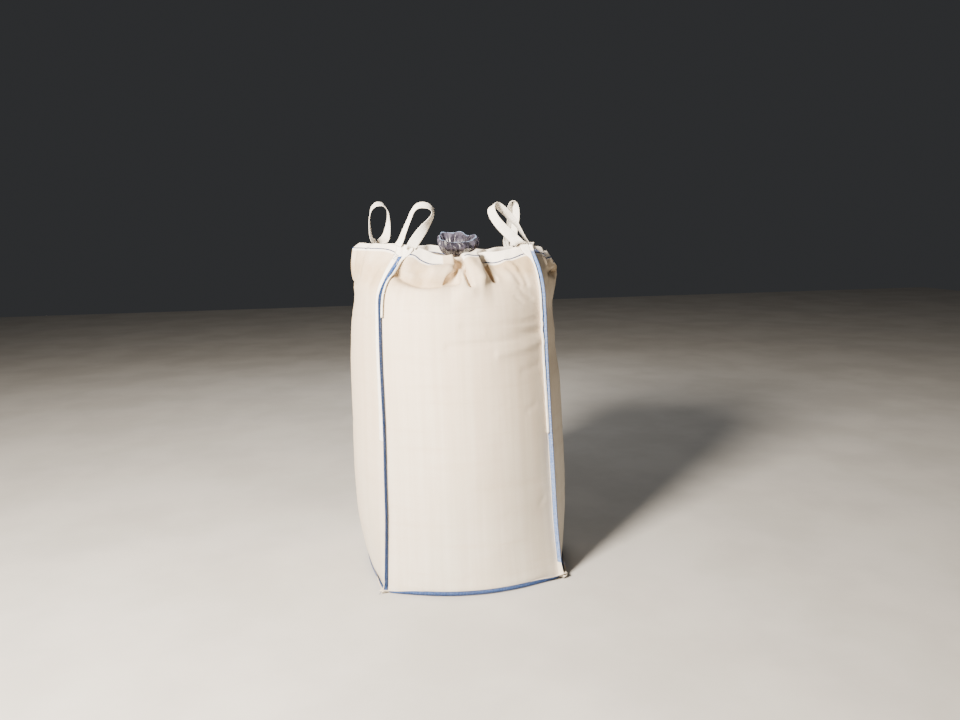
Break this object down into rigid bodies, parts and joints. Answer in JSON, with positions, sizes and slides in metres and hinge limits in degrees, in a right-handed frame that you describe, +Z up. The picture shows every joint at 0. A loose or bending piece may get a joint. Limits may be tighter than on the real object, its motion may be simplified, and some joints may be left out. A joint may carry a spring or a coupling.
{
  "type": "filled bulk bag",
  "caption": "Tall woven bulk bag, filled and standing on its base, with blue-bound seams, webbing lifting loops, an open gathered top and a tied film liner",
  "frame": {"origin": "centre of the base on the floor", "axes": "+Z up along the bag's height, -Y the front panel, +X right as seen from the front"},
  "size_m": [1.1142, 1.1231, 1.8738],
  "materials": {
    "cloth": "woven plastic tape, dusty",
    "webbing": "woven webbing",
    "thread": "blue sewing thread",
    "film": "clear film",
    "grain": "loose grain, hidden"
  },
  "bodies": {
    "root": {"fill": "grain", "base_panel": "cloth", "front_panel": "cloth", "base_seam_front": "thread", "right_panel": "cloth", "base_seam_right": "thread", "back_panel": "cloth", "base_seam_back": "thread", "left_panel": "cloth", "base_seam_left": "thread", "corner_seam_front_right": "thread", "corner_seam_back_right": "thread", "corner_seam_back_left": "thread", "corner_seam_front_left": "thread", "lift_loop_front_right": "webbing", "lift_loop_back_right": "webbing", "lift_loop_back_left": "webbing", "lift_loop_front_left": "webbing", "liner": "film", "liner_tie": "webbing"}
  },
  "joints": []
}
